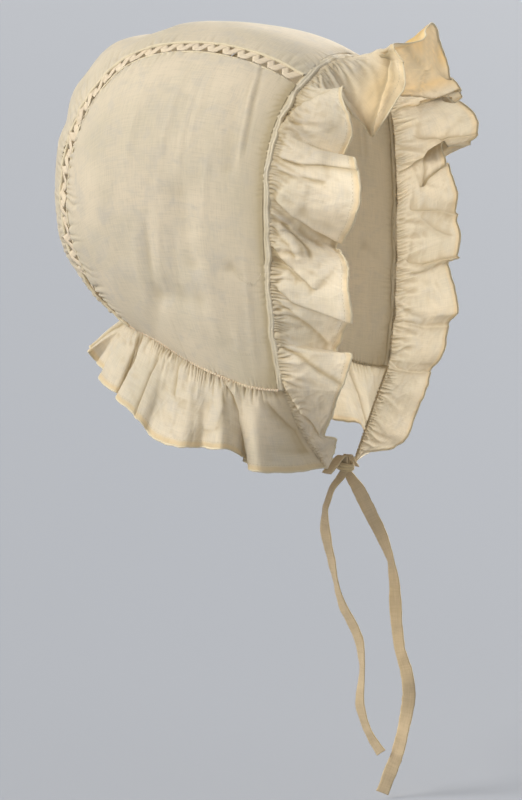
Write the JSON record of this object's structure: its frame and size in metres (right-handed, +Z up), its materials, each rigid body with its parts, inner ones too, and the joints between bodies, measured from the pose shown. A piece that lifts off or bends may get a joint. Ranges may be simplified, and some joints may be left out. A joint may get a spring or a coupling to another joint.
{
  "type": "cotton nightcap",
  "caption": "Thin cotton nightcap with openwork seams over a rounded crown, a gathered ruffle round the face and neck, and two tape ties half-knotted under the chin.",
  "frame": {"origin": "inside of the crown, where a head carries the cap", "axes": "+Z up, the face opening towards -Y, the wearer's right side at -X"},
  "size_m": [0.1698, 0.2226, 0.4401],
  "materials": {
    "cloth": "thin plain-woven cotton, cream with age",
    "ruffle_cloth": "thin plain-woven cotton, narrow rolled hem",
    "openwork_tape": "fine folded tape between narrow hems",
    "band": "narrow corded cotton band",
    "tie_tape": "yellowed cotton tape, cut ends"
  },
  "bodies": {
    "root": {"centre_panel": "cloth", "side_panel_right": "cloth", "side_panel_left": "cloth", "openwork_right": "openwork_tape", "openwork_left": "openwork_tape", "face_band": "band", "face_ruffle": "ruffle_cloth", "neck_ruffle": "ruffle_cloth", "tie_right": "tie_tape", "tie_left": "tie_tape", "tie_knot": "tie_tape"}
  },
  "joints": []
}
